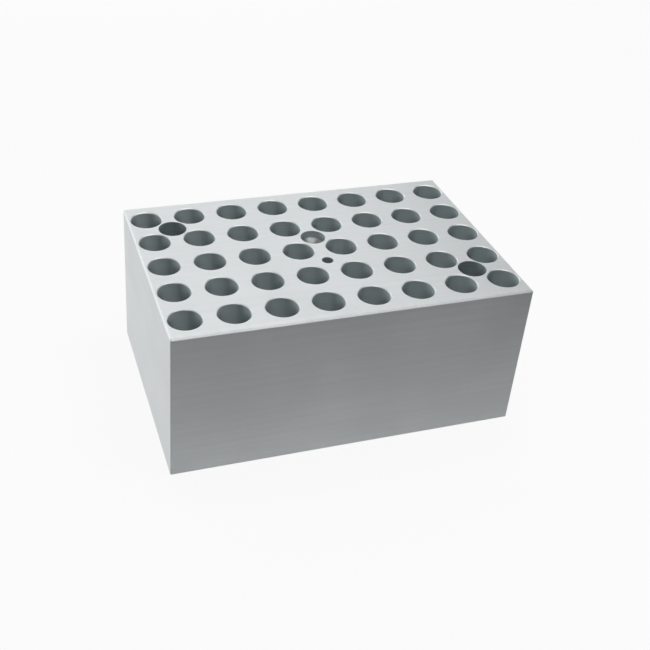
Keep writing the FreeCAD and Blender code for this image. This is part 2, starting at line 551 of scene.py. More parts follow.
@dataclass(frozen=True)
class MetalFinish(Finish):
    """Bare metal with the marks of the tool that cut it.

    Attributes:
        dull: Colour in the grooves of the tool marks and under smudges.
        roughness: Mean roughness.
        spread: How far the tool marks move the roughness.
        mark_length: Length of a tool mark in millimetres.
        mark_width: Width of a tool mark in millimetres.
        groove: Strength of the tool marks as relief.
        stretch: How far the marks stretch a highlight across themselves.
        wear: How far rubbed edges brighten.
        mark_depth: Depth of the tool marks in metres.
        smudge_dull: How far smudges dull the colour.
        smudge_rough: How far smudges raise the roughness.
        rubbed_gain: How much brighter a rubbed edge is than clean metal.
        rubbed_polish: How far rubbing lowers the roughness.
        tone_edges: Tool marks at which the colour is fully dull and fully clean.
        grain_edges: Tool marks at which the roughness is highest and lowest.
        stretch_turn: Turn of the stretched highlight from the lay, in full turns.
    """

    dull: Colour
    roughness: float
    spread: float
    mark_length: float
    mark_width: float
    groove: float
    stretch: float
    wear: float = 0.6
    mark_depth: float = 0.00004
    smudge_dull: float = 0.35
    smudge_rough: float = 0.05
    rubbed_gain: float = 1.12
    rubbed_polish: float = 0.08
    tone_edges: tuple[float, float] = (0.3, 0.7)
    grain_edges: tuple[float, float] = (0.25, 0.75)
    stretch_turn: float = 0.25

    def material(self, kit: FinishKit) -> Material:
        """The finish as a material.

        Args:
            kit: The shared effects.

        Returns:
            A new material.
        """
        made, wire, skin, place = self.start()
        near = wire.add("ShaderNodeAttribute", attribute_name=EDGE_MAP).outputs["Fac"]
        lay = self.lay(wire)
        tool = wire.use(kit.tool_marks, lay=lay, length=self.mark_length, width=self.mark_width)
        marks = tool.outputs["Marks"]
        smudge = wire.use(kit.handling, place=place).outputs["Smudge"]
        rubbed = wire.use(kit.edge_wear, place=place, edge=near).outputs["Rubbed"]

        clean = wire.blend(wire.ranged(marks, *self.tone_edges, 0.0, 1.0), self.dull, self.colour)
        handled = wire.blend(wire.math("MULTIPLY", smudge, self.smudge_dull), clean, self.dull)
        bright = tuple(min(1.0, self.rubbed_gain * part) for part in self.colour)
        rough, smooth = self.roughness + self.spread, self.roughness - self.spread
        grain = wire.ranged(marks, *self.grain_edges, rough, smooth)
        matt = wire.math("ADD", grain, wire.math("MULTIPLY", smudge, self.smudge_rough))
        polish = wire.math("MULTIPLY", rubbed, self.rubbed_polish * self.wear)
        tangent = wire.add("ShaderNodeTangent", direction_type="UV_MAP", uv_map=LAY_MAP)
        wire.give(skin, {
            "Base Color": wire.blend(wire.math("MULTIPLY", rubbed, self.wear), handled, bright),
            "Roughness": wire.math("SUBTRACT", matt, polish, clamp=True),
            "Normal": wire.relief(marks, self.groove, self.mark_depth),
            "Metallic": 1.0,
            "Anisotropic": self.stretch,
            "Anisotropic Rotation": self.stretch_turn,
            "Tangent": tangent.outputs["Tangent"],
        })
        return made


@dataclass(frozen=True)
class PolymerFinish(Finish):
    """Machined white polymer: satin, faintly mottled, with fine turning lines.

    Attributes:
        shade: Colour of the mottling.
        roughness: Mean roughness.
        spread: How far the turning lines move the roughness.
        mottle: How far the mottling shows.
        mottle_size: Size of the mottling in metres.
        mark_length: Length of a turning line in millimetres.
        mark_width: Width of a turning line in millimetres.
        groove: Strength of the turning lines as relief.
        mark_depth: Depth of the turning lines in metres.
        line_edges: Turning lines at which the roughness is highest and lowest.
    """

    shade: Colour
    roughness: float = 0.45
    spread: float = 0.1
    mottle: float = 0.6
    mottle_size: float = 0.003
    mark_length: float = 6.0
    mark_width: float = 0.12
    groove: float = 0.15
    mark_depth: float = 0.00003
    line_edges: tuple[float, float] = (0.3, 0.7)

    def material(self, kit: FinishKit) -> Material:
        """The finish as a material.

        Args:
            kit: The shared effects.

        Returns:
            A new material.
        """
        made, wire, skin, place = self.start()
        tool = wire.use(kit.tool_marks, lay=self.lay(wire), length=self.mark_length, width=self.mark_width)
        streak = tool.outputs["Streak"]
        cloud = wire.use(kit.handling, place=place, size=self.mottle_size).outputs["Smudge"]
        rough, smooth = self.roughness + self.spread, self.roughness - self.spread
        wire.give(skin, {
            "Base Color": wire.blend(wire.math("MULTIPLY", cloud, self.mottle), self.colour, self.shade),
            "Roughness": wire.ranged(streak, *self.line_edges, rough, smooth),
            "Normal": wire.relief(streak, self.groove, self.mark_depth),
        })
        return made


@dataclass(frozen=True)
class PaperFinish(Finish):
    """Matt studio paper with a trace of grain.

    Attributes:
        shade: Share of the colour that the grain keeps.
        veil: Share of the paper that shows its own white, to the eye and in reflections, over its shadows.
        grain_scale: Scale of the grain.
        roughness: Its roughness.
        sheen: Strength of its reflection.
    """

    shade: float = 0.98
    veil: float = 0.0
    grain_scale: float = 90.0
    roughness: float = 0.9
    sheen: float = 0.1

    def material(self) -> Material:
        """The finish as a material.

        Returns:
            A new material.
        """
        made, wire, skin, place = self.start()
        grain = wire.noise(place, self.grain_scale, detail=4.0, rough=0.6)
        dim = tuple(self.shade * part for part in self.colour)
        tone = wire.blend(grain, self.colour, dim)
        matt = {"Roughness": self.roughness, "Specular IOR Level": self.sheen}
        wire.give(skin, {"Base Color": tone, **matt})

        path = wire.add("ShaderNodeLightPath").outputs
        mirrored = wire.math("MAXIMUM", path["Is Glossy Ray"], path["Is Transmission Ray"])
        seen = wire.math("MAXIMUM", path["Is Camera Ray"], mirrored)
        share = wire.math("MULTIPLY", seen, self.veil)
        white = wire.add("ShaderNodeEmission").outputs["Emission"]
        mix = wire.give(wire.add("ShaderNodeMixShader"), {0: share, 1: skin.outputs["BSDF"], 2: white})
        wire.feed(mix.outputs["Shader"], made.node_tree.nodes["Material Output"].inputs["Surface"])
        return made


MILLED_FACE = MetalFinish(
    "aluminium_milled_face", (0.74, 0.765, 0.77), (0.70, 0.725, 0.73), roughness=0.5, spread=0.06,
    mark_length=45.0, mark_width=0.22, groove=0.05, stretch=0.85, wear=0.2,
)
# The block's sides: the brushed marks and stretched highlights are their own; the colour, a touch darker
# than the top face's, is painted shade.
BRUSHED_SHADED_FLANK = MetalFinish(
    "aluminium_brushed_flank_painted_shade", (0.72, 0.745, 0.75), (0.68, 0.705, 0.71), roughness=0.58, spread=0.06,
    mark_length=45.0, mark_width=0.22, groove=0.05, stretch=0.95, wear=0.2,
)
# Walls of the wells and the insert's hole: the marks and roughness are their own; the colour, darker than
# the top face's, is partly painted shade.
SHADED_BORED_WALL = MetalFinish(
    "aluminium_bored_wall_painted_shade", (0.615, 0.70, 0.71), (0.54, 0.615, 0.625), roughness=0.72, spread=0.08,
    mark_length=18.0, mark_width=0.16, groove=0.16, stretch=1.0, wear=0.3,
)
# Walls of the screw holes and the probe hole: the marks and roughness are their own; the colour, well below
# the top face's, is partly painted shade.
SHADED_DRILLED_WALL = MetalFinish(
    "aluminium_drilled_wall_painted_shade", (0.50, 0.575, 0.59), (0.415, 0.475, 0.49), roughness=0.55, spread=0.08,
    mark_length=14.0, mark_width=0.2, groove=0.2, stretch=0.7, wear=0.3,
)
CUT_EDGE = MetalFinish(
    "aluminium_cut_edge", (0.80, 0.83, 0.835), (0.77, 0.80, 0.805), roughness=0.4, spread=0.04,
    mark_length=12.0, mark_width=0.08, groove=0.04, stretch=0.3, wear=0.2,
)
TURNED_STEEL = MetalFinish(
    "steel_turned", (0.56, 0.57, 0.57), (0.46, 0.47, 0.47), roughness=0.34, spread=0.1,
    mark_length=9.0, mark_width=0.07, groove=0.14, stretch=0.5,
)
INSERT_STEEL = MetalFinish(
    "steel_insert", (0.42, 0.43, 0.43), (0.33, 0.34, 0.34), roughness=0.42, spread=0.1,
    mark_length=9.0, mark_width=0.07, groove=0.14, stretch=0.5,
)
DARK_STEEL = MetalFinish(
    "steel_broached", (0.46, 0.455, 0.44), (0.36, 0.355, 0.35), roughness=0.4, spread=0.1,
    mark_length=3.0, mark_width=0.1, groove=0.2, stretch=0.2, wear=0.4,
)
SPRING_STEEL = MetalFinish(
    "steel_spring", (0.50, 0.50, 0.49), (0.38, 0.38, 0.375), roughness=0.3, spread=0.1,
    mark_length=14.0, mark_width=0.12, groove=0.16, stretch=0.4,
)
WHITE_POLYMER = PolymerFinish("polymer_white", (0.88, 0.88, 0.86), (0.80, 0.80, 0.775))
SWEEP_PAPER = PaperFinish("sweep_paper", (0.96, 0.96, 0.96), veil=0.88)
# A black sheet seen only in reflections: painted shade on the block's front face.
REFLECTION_SHADE_CARD = PaperFinish("reflection_shade_card", (0.02, 0.02, 0.02))


# Pieces


def raise_piece(
    name: str, patches: Sequence[Patch], materials: Sequence[Material], crease: float = 30.0
) -> Piece:
    """Joins patches into one closed mesh, with its lay map, edge map and zones.

    Rims that two patches share are merged, which also closes seams and poles, and the faces are then
    turned outwards. Edges sharper than the crease angle stay sharp, the rest is shaded smooth.

    Args:
        name: The piece's name.
        patches: Its surfaces.
        materials: One material for each zone that the patches use, in the order of Zone.
        crease: The crease angle in degrees.

    Returns:
        The new object, at the origin.
    """
    merge_distance = 1e-6
    starts = running_total([patch.edge.size for patch in patches]).astype(int)
    points = np.concatenate([patch.points.reshape(-1, 3) for patch in patches]) * MM
    lay = np.concatenate([patch.lay.reshape(-1, 2) for patch in patches])
    edge = np.concatenate([patch.edge.reshape(-1) for patch in patches])
    faces = [patch.quads() + start for patch, start in zip(patches, starts)]
    zones = np.concatenate([np.full(len(part), int(patch.zone)) for part, patch in zip(faces, patches)])
    quads = np.concatenate(faces)
    mesh = bpy.data.meshes.new(name)
    mesh.from_pydata(points, [], quads)
    mesh.uv_layers.new(name=LAY_MAP).data.foreach_set("uv", lay[quads.ravel()].ravel())
    mesh.attributes.new(EDGE_MAP, "FLOAT", "POINT").data.foreach_set("value", edge)
    mesh.polygons.foreach_set("material_index", zones)
    shell = bmesh.new()
    shell.from_mesh(mesh)
    bmesh.ops.remove_doubles(shell, verts=shell.verts, dist=merge_distance)
    bmesh.ops.recalc_face_normals(shell, faces=shell.faces)
    shell.to_mesh(mesh)
    shell.free()
    mesh.shade_smooth()
    mesh.set_sharp_from_angle(angle=math.radians(crease))
    for material in materials:
        mesh.materials.append(material)
    piece = bpy.data.objects.new(name, mesh)
    bpy.context.scene.collection.objects.link(piece)
    return piece


def seat(piece: Piece, body: str, node: str) -> Piece:
    """Puts a piece on its body in the place of its node, and reports it.

    Args:
        piece: The piece.
        body: The body that it rides on.
        node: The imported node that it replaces.

    Returns:
        The same piece.
    """
    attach(piece, body)
    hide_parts(node)
    LOG.info("%s: %d faces on %s", piece.name, len(piece.data.polygons), body)
    return piece


def node_heights(node: str) -> tuple[float, float]:
    """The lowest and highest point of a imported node, in millimetres."""
    low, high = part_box(node)
    return low.z / MM, high.z / MM


@dataclass
class SampleBlock:
    """The milled block with its wells and holes, as one closed shell.

    Attributes:
        columns: Wells along the length.
        rows: Wells across the width.
        pitch: Distance between wells.
        well_radius: Radius of a well.
        mouth: Chamfer at a well's mouth.
        well_floor: Height of the wells' floors.
        floor_edge: Broken edge around a well's floor.
        edge: Chamfer along the block's edges.
        face_rub: Width of the rubbed band around a well's mouth on the top.
        flank_rub: Width of the rubbed bands along the flanks' edges.
        bore_rub: Depth of the rubbed band in a well's mouth.
        shaft_radius: Radius of the screw-head shafts and of the recesses under the block.
        shank_radius: Radius of the shank holes.
        seat_height: Height of the screw seats.
        recess_height: Height of the recesses' ceilings.
        lift_radius: Radius of the insert's hole.
        ledge_height: Height of the ledge under the insert.
        run_out_radius: Radius of the run-out below the ledge.
        run_out_floor: Height of the run-out's floor.
        probe_radius: Radius of the probe hole.
        probe_floor: Height of the probe hole's floor.
        quarter: Steps in a quarter turn around a well.
        corner_steps: Steps in a rounded upright corner.
        half: Half the block's length and width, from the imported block.
        height: The block's height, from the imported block.
        centres: The wells' centres in plan.
    """

    columns: int = 8
    rows: int = 5
    pitch: float = 16.0004
    well_radius: float = 5.55
    mouth: float = 0.25
    well_floor: float = 16.0
    floor_edge: float = 0.5
    edge: float = 0.5
    face_rub: float = 0.35
    flank_rub: float = 0.5
    bore_rub: float = 0.4
    shaft_radius: float = 5.0
    shank_radius: float = 2.75
    seat_height: float = 15.8
    recess_height: float = 9.8
    lift_radius: float = 4.5
    ledge_height: float = 41.5
    run_out_radius: float = 3.5
    run_out_floor: float = 37.5
    probe_radius: float = 2.0
    probe_floor: float = 20.0
    quarter: int = 24
    corner_steps: int = 5
    half: np.ndarray = field(init=False)
    height: float = field(init=False)
    centres: np.ndarray = field(init=False)

    def __post_init__(self) -> None:
        """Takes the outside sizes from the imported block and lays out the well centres."""
        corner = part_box("block_body")[1]
        self.half = np.array([corner.x, corner.y]) / MM
        self.height = corner.z / MM
        column, row = ((np.arange(n) - (n - 1) / 2) * self.pitch for n in (self.columns, self.rows))
        self.centres = np.stack(np.meshgrid(column, row), axis=-1).reshape(-1, 2)

    def screw_place(self, side: Side) -> np.ndarray:
        """The axis of one fixing screw in plan."""
        sign = -1.0 if side is Side.LEFT else 1.0
        return np.array([sign * (self.columns / 2 - 1), -sign * (self.rows / 2 - 1)]) * self.pitch

    def lift_place(self) -> np.ndarray:
        """The axis of the thread insert in plan."""
        return np.array([0.0, 0.5 * self.pitch])

    def probe_place(self) -> np.ndarray:
        """The axis of the probe hole in plan."""
        return -self.lift_place()

    def cell_reach(self) -> np.ndarray:
        """How far each well's cell reaches: half a pitch, or to the chamfer at the block's edge.

        Returns:
            The reach to +X, +Y, -X and -Y, shaped (wells, 4).
        """
        reach = np.full((len(self.centres), 4), self.pitch / 2)
        last = np.abs(self.centres).max(axis=0)
        for axis in range(2):
            for turn, sign in ((axis, 1.0), (axis + 2, -1.0)):
                outer = np.isclose(self.centres[:, axis], sign * last[axis])
                reach[outer, turn] = self.half[axis] - self.edge - last[axis]
        return reach

    def cell_bites(self, holes: Sequence[tuple[np.ndarray, float]]) -> np.ndarray:
        """Finds the hole on each corner of each cell.

        Args:
            holes: Axis in plan and radius of each hole.

        Returns:
            The radius of the hole on each corner, 0 where there is none, shaped (wells, 4).
        """
        same_place = 0.1
        turns = np.array([[1, 1], [-1, 1], [-1, -1], [1, -1]]) * self.pitch / 2
        corners = self.centres[:, None] + turns
        bites = np.zeros(corners.shape[:2])
        for place, radius in holes:
            bites[np.linalg.norm(corners - place, axis=-1) < same_place] = radius
        return bites

    def cell_outlines(self, bites: np.ndarray) -> np.ndarray:
        """The outer line of each well's cell.

        A quarter runs from the middle of one side to the middle of the next. Without a hole on the corner
        it goes along both sides with the tangent of even angles. With a hole it goes straight to the hole,
        round a quarter of the hole's rim, and straight on.

        Args:
            bites: Hole radius on each corner of each cell.

        Returns:
            Points in plan, shaped (wells, 4 * quarter + 1, 2).
        """
        reach = self.cell_reach()
        steps = self.quarter // 2
        rise = np.tan(np.linspace(0.0, math.pi / 4, steps + 1))
        even = np.linspace(0.0, 1.0, steps // 2 + 1)
        sweep = np.linspace(0.0, math.pi / 2, steps + 1)
        near, far, bite = reach[..., None], np.roll(reach, -1, axis=1)[..., None], bites[..., None]
        whole, level = np.ones_like(rise), np.ones_like(even)
        plain_u = np.concatenate([near * whole, near * rise[::-1][1:]], axis=-1)
        plain_v = np.concatenate([far * rise, far * whole[1:]], axis=-1)
        bow_u = (near - bite * np.sin(sweep))[..., 1:-1]
        bow_v = (far - bite * np.cos(sweep))[..., 1:-1]
        holed_u = np.concatenate([near * level, bow_u, (near - bite) * even[::-1]], axis=-1)
        holed_v = np.concatenate([(far - bite) * even, bow_v, far * level], axis=-1)
        u = np.where(bite > 0, holed_u, plain_u)[..., None]
        v = np.where(bite > 0, holed_v, plain_v)[..., None]
        ahead = np.array([[1, 0], [0, 1], [-1, 0], [0, -1]], float)[:, None]
        line = u * ahead + v * np.roll(ahead, -1, axis=0)
        ring = line[:, :, :-1].reshape(len(self.centres), -1, 2)
        return self.centres[:, None] + np.concatenate([ring, ring[:, :1]], axis=1)

    def plate(self, height: float, rim: float, bites: np.ndarray, worn: bool) -> list[Patch]:
        """A flat face of one ring-shaped patch per cell, from a circle about its centre to its outline.

        Args:
            height: Height of the face.
            rim: Radius of the circle, 0 for a face without wells.
            bites: Hole radius on each corner of each cell.
            worn: Whether the rims are sharp edges that rub bright.

        Returns:
            The patches.
        """
        outline = self.cell_outlines(bites)
        circle = unit_ways(turn_angles(4 * self.quarter))
        inner = self.centres[:, None] + rim * circle
        middle = 0.5 * (inner + outline)
        if worn:
            gap = np.linalg.norm(outline - inner, axis=-1, keepdims=True)
            middle = np.where(gap > 2.0 * self.face_rub, inner + self.face_rub * circle, middle)
        flat = np.stack([inner, middle, outline], axis=1)
        points = np.concatenate([flat, np.full_like(flat[..., :1], height)], axis=-1)
        edge = np.zeros(flat.shape[1:3])
        edge[0] = float(worn)
        return [Patch(place, lay, edge) for place, lay in zip(points, flat)]

    def perimeter(self) -> tuple[np.ndarray, np.ndarray]:
        """The block's outline at the inner edge of its chamfers.

        It runs round the four sides through the ends of the cells' outlines, and turns each corner in a few
        steps on the spot, so that moving every point along its own direction rounds the corner.

        Returns:
            Points and outward directions.
        """
        reach = self.cell_reach()
        rise = np.tan(np.linspace(0.0, math.pi / 4, self.quarter // 2 + 1))
        ticks = []
        for axis in range(2):
            right = self.centres[:, axis, None] + reach[:, axis, None] * rise
            left = self.centres[:, axis, None] - reach[:, axis + 2, None] * rise
            ticks.append(np.unique(np.concatenate([right, left]).round(7)))
        flat = self.half - self.edge
        bend = np.linspace(0.0, math.pi / 2, self.corner_steps + 1)[1:-1]
        lines, ways = [], []
        for turn in range(4):
            axis, sign = turn % 2, 1.0 if turn < 2 else -1.0
            run = ticks[axis][:: int(sign)]
            line = np.empty((len(run), 2))
            line[:, axis] = run
            line[:, 1 - axis] = flat[1 - axis] * (-sign if axis == 0 else sign)
            angle = (turn - 1) * math.pi / 2
            lines += [line, np.tile(line[-1], (len(bend), 1))]
            ways += [np.tile(unit_ways(angle), (len(run), 1)), unit_ways(angle + bend)]
        return np.concatenate([*lines, lines[0][:1]]), np.concatenate([*ways, ways[0][:1]])

    def walls(self) -> list[Patch]:
        """The four sides with their chamfers: the outline moved outwards by the chamfer and carried down.

        Returns:
            The patches.
        """
        points, directions = self.perimeter()
        c, top, rub = self.edge, self.height, self.flank_rub
        flank = [(c, top - c), (c, top - c - rub), (c, c + rub), (c, c)]
        bands = [
            ([(0.0, top), (c, top - c)], [1.0, 1.0], Zone.EDGE),
            (flank, [1.0, 0.0, 0.0, 1.0], Zone.FLANK),
            ([(c, c), (0.0, 0.0)], [1.0, 1.0], Zone.EDGE),
        ]
        patches = []
        for profile, worn, zone in bands:
            out, height = np.array(profile).T[..., None]
            flat = points + directions * out[..., None]
            edge = np.array(worn)[:, None]
            height, edge, along = np.broadcast_arrays(height, edge, line_distance(points))
            place = np.concatenate([flat, height[..., None]], axis=-1)
            patches.append(Patch(place, np.stack([along, height], axis=-1), edge, zone))
        return patches

    def wells(self) -> list[Patch]:
        """The wells: a mouth chamfer, then the wall and the floor with its broken edge.

        Returns:
            The patches.
        """
        top, r, bottom = self.height, self.well_radius, self.well_floor
        neck, foot = top - self.mouth, bottom + self.floor_edge
        parts = [
            ([(r + self.mouth, top), (r, neck)], Zone.EDGE, 1.0),
            ([(r, neck), (r, neck - self.bore_rub), (r, foot)], Zone.BORE, [1.0, 0.0, 0.0]),
            ([(r, foot), (r - self.floor_edge, bottom), (0.0, bottom)], Zone.BORE, 0.0),
        ]
        return [
            turned(profile, centre, 4 * self.quarter, zone, worn)
            for centre in self.centres
            for profile, zone, worn in parts
        ]

    def holes(self) -> list[Patch]:
        """The stepped screw holes, the insert's hole and the probe hole.

        Returns:
            The patches.
        """
        top, segments = self.height, 2 * self.quarter
        shaft = [
            (self.shaft_radius, top),
            (self.shaft_radius, self.seat_height),
            (self.shank_radius, self.seat_height),
            (self.shank_radius, self.recess_height),
            (self.shaft_radius, self.recess_height),
            (self.shaft_radius, 0.0),
        ]
        lift = [
            (self.lift_radius, top),
            (self.lift_radius, self.ledge_height),
            (self.run_out_radius, self.ledge_height),
            (self.run_out_radius, self.run_out_floor),
            (0.0, self.run_out_floor),
        ]
        probe = [(self.probe_radius, top), (self.probe_radius, self.probe_floor), (0.0, self.probe_floor)]
        return [
            *(turned(shaft, self.screw_place(side), segments, Zone.DRILL) for side in Side),
            turned(lift, self.lift_place(), segments, Zone.BORE),
            turned(probe, self.probe_place(), segments, Zone.DRILL),
        ]

    def build(self, kit: FinishKit) -> Piece:
        """Makes the block and dresses it.

        Args:
            kit: The shared effects.

        Returns:
            The block's object.
        """
        screws = [(self.screw_place(side), self.shaft_radius) for side in Side]
        middle = [(self.lift_place(), self.lift_radius), (self.probe_place(), self.probe_radius)]
        rim = self.well_radius + self.mouth
        patches = self.plate(self.height, rim, self.cell_bites(screws + middle), True)
        patches += self.plate(0.0, 0.0, self.cell_bites(screws), False)
        patches += self.walls() + self.wells() + self.holes()
        finishes = (MILLED_FACE, SHADED_BORED_WALL, CUT_EDGE, BRUSHED_SHADED_FLANK, SHADED_DRILLED_WALL)
        piece = raise_piece("milled_block", patches, [finish.material(kit) for finish in finishes])
        return seat(piece, "block", "block_body")


@dataclass
class LiftInsert:
    """The steel thread insert for a lifting handle.

    Attributes:
        outer_radius: Outside radius.
        mouth_radius: Radius of the conical mouth at the top.
        lead_in: Chamfer around its lower end.
        top_break: Chamfer around its upper end.
        thread: Its thread.
        segments: Steps in a full turn.
    """

    outer_radius: float = 4.49
    mouth_radius: float = 4.1
    lead_in: float = 0.3
    top_break: float = 0.15
    thread: Thread = Thread(radius=2.5, depth=0.5, pitch=1.0, fades=(0.4, 0.4), inner=True)
    segments: int = 96

    def build(self, block: SampleBlock, kit: FinishKit) -> Piece:
        """Makes the insert and dresses it.

        Args:
            block: The block that holds it.
            kit: The shared effects.

        Returns:
            The insert's object.
        """
        low, high = node_heights("lift_insert")
        centre, bore = block.lift_place(), self.thread.radius
        throat = high - (self.mouth_radius - bore)
        outside = [
            (bore, low),
            (self.outer_radius - self.lead_in, low),
            (self.outer_radius, low + self.lead_in),
            (self.outer_radius, high - self.top_break),
            (self.outer_radius - self.top_break, high),
            (self.mouth_radius, high),
        ]
        mouth = [(self.mouth_radius, high), (bore, throat)]
        patches = [
            turned(outside, centre, self.segments),
            turned(mouth, centre, self.segments, Zone.FACE, [1.0, 0.2]),
            self.thread.wall(centre, throat, low, self.segments, Zone.BORE),
        ]
        materials = [INSERT_STEEL.material(kit), DARK_STEEL.material(kit)]
        return seat(raise_piece("threaded_insert", patches, materials), "block", "lift_insert")


@dataclass
class FixingScrew:
    """A socket head screw with a knurled head, a waisted shank and a rolled thread.

    Attributes:
        thread: Its thread.
        thread_length: Length of the thread with its tip chamfer.
        tip_inset: How far the tip chamfer goes in.
        tip_rise: How far the tip chamfer goes up.
        waist_radius: Radius of the waist.
        thread_break: Height of the step from the thread to the waist.
        head_radius: Radius of the head.
        head_height: Height of the head.
        head_foot: Chamfer under the head, and of the waist below it.
        head_crown: Chamfer around the head's top.
        head_land: Plain band below that chamfer.
        knurls: Ridges around the head.
        knurl_depth: Depth of the grooves between them.
        knurl_fade: Height over which they fade out.
        key_flats: Width of the key socket across its flats.
        socket_depth: Depth of the key socket.
        socket_break: Chamfer around the key socket.
        socket_rub: Width of the rubbed band around that chamfer.
        point_radius: Radius of the drilled point in the key socket.
        point_depth: Depth of that point.
        segments: Steps in a full turn.
    """

    thread: Thread = Thread(radius=2.05, depth=0.45, pitch=0.8, fades=(0.6, 0.3))
    thread_length: float = 8.5
    tip_inset: float = 0.35
    tip_rise: float = 0.45
    waist_radius: float = 2.0
    thread_break: float = 0.12
    head_radius: float = 4.25
    head_height: float = 5.0
    head_foot: float = 0.25
    head_crown: float = 0.45
    head_land: float = 0.35
    knurls: int = 48
    knurl_depth: float = 0.09
    knurl_fade: float = 0.3
    key_flats: float = 4.0
    socket_depth: float = 2.5
    socket_break: float = 0.12
    socket_rub: float = 0.13
    point_radius: float = 1.6
    point_depth: float = 0.5
    segments: int = 96

    def head(self, centre: np.ndarray, low: float, high: float) -> Patch:
        """The knurled side of the head: its radius less a cosine of the angle, faded out at both ends.

        Args:
            centre: The screw's axis in plan.
            low: Height of the head's underside.
            high: Height of its top.

        Returns:
            The patch.
        """
        foot, crown = low + self.head_foot, high - self.head_crown
        land, fade, depth = crown - self.head_land, self.knurl_fade, self.knurl_depth
        height, inset, groove, edge = np.array([
            (low, self.head_foot, 0.0, 0.4),
            (foot, 0.0, 0.0, 0.6),
            (foot + fade, 0.0, depth, 0.5),
            (land - fade, 0.0, depth, 0.5),
            (land, 0.0, 0.0, 0.6),
            (crown, 0.0, 0.0, 0.8),
            (high, self.head_crown, 0.0, 0.8),
        ]).T[..., None]
        wave = 0.5 - 0.5 * np.cos(self.knurls * turn_angles(self.segments))
        return swept(self.head_radius - inset - groove * wave, height, centre, Zone.FACE, edge[:, 0])

    def key_socket(self, centre: np.ndarray, top: float) -> list[Patch]:
        """The top of the head and the hexagon socket.

        A hexagon's radius is its half width over the cosine of the angle to the nearest flat's middle. The
        corners stand at every sixth of a turn from +X.

        Args:
            centre: The screw's axis in plan.
            top: Height of the head's top.

        Returns:
            The patches.
        """
        angle = turn_angles(self.segments)
        hexagon = self.key_flats / 2 / np.cos((angle % (math.pi / 3)) - math.pi / 6)
        ring = np.ones_like(hexagon)
        mouth, neck, floor = hexagon + self.socket_break, top - self.socket_break, top - self.socket_depth
        face = [ring * (self.head_radius - self.head_crown), mouth + self.socket_rub, mouth]
        bore = [mouth, hexagon, hexagon, ring * self.point_radius, ring * 0.0]
        levels = np.array([top, neck, floor, floor, floor - self.point_depth])
        return [
            swept(np.stack(face), np.full((3, 1), top), centre, Zone.FACE, [0.6, 0.0, 0.8]),
            swept(np.stack(bore), levels[:, None], centre, Zone.BORE, [0.8, 0.4, 0.0, 0.0, 0.0]),
        ]

    def build(self, side: Side, block: SampleBlock, kit: FinishKit) -> Piece:
        """Makes one screw and dresses it.

        Args:
            side: Which screw.
            block: The block that holds it.
            kit: The shared effects.

        Returns:
            The screw's object.
        """
        node = f"fixing_screw_{side.value}"
        low, high = node_heights(node)
        centre, root, waist = block.screw_place(side), self.thread.radius, self.waist_radius
        thread_foot, thread_top = low + self.tip_rise, low + self.thread_length
        collar = high - self.head_height
        tip = [(0.0, low), (root - self.tip_inset, low), (root, thread_foot)]
        shank = [
            (root, thread_top),
            (waist, thread_top + self.thread_break),
            (waist, collar - self.head_foot),
            (waist + self.head_foot, collar),
            (self.head_radius - self.head_foot, collar),
        ]
        patches = [
            turned(tip, centre, self.segments),
            self.thread.wall(centre, thread_foot, thread_top, self.segments, Zone.FACE),
            turned(shank, centre, self.segments),
            self.head(centre, collar, high),
            *self.key_socket(centre, high),
        ]
        materials = [TURNED_STEEL.material(kit), DARK_STEEL.material(kit)]
        piece = raise_piece(f"socket_screw_{side.value}", patches, materials)
        return seat(piece, f"{side.value}_screw", node)


@dataclass(frozen=True)
class Washer:
    """One ring on a screw, plain or split.

    Attributes:
        name: The piece's name, before its side.
        node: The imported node's name, before its side.
        body: The body that it rides on, with {side} where the side's name goes.
        slot: Its material slot.
        finish: Its finish.
        bore: Bore radius.
        radius: Outside radius.
        corner: Radius of its section's corners.
        worn: How far a plain ring is rubbed, from 0 to 1.
        segments: Steps in a full turn.
        crease: Its crease angle in degrees.
    """

    name: str
    node: str
    body: str
    slot: Slot
    finish: MetalFinish | PolymerFinish
    bore: float
    radius: float
    corner: float
    worn: float = 0.25
    segments: int = 96
    crease: float = 50.0

    def surface(self, centre: np.ndarray, low: float, high: float) -> Patch:
        """A plain ring: a closed rounded section turned about the screw's axis."""
        section = rounded_section(self.bore, self.radius, low, high, self.corner)
        return turned(section, centre, self.segments, Zone.FACE, self.worn)

    def build(self, side: Side, block: SampleBlock, kit: FinishKit) -> Piece:
        """Makes the ring of one screw and dresses it.

        Args:
            side: Which screw.
            block: The block that holds it.
            kit: The shared effects.

        Returns:
            The washer's object.
        """
        node = f"{self.node}_{side.value}"
        patch = self.surface(block.screw_place(side), *node_heights(node))
        piece = raise_piece(f"{self.name}_{side.value}", [patch], [self.finish.material(kit)], self.crease)
        return seat(piece, self.body.format(side=side.value), node)


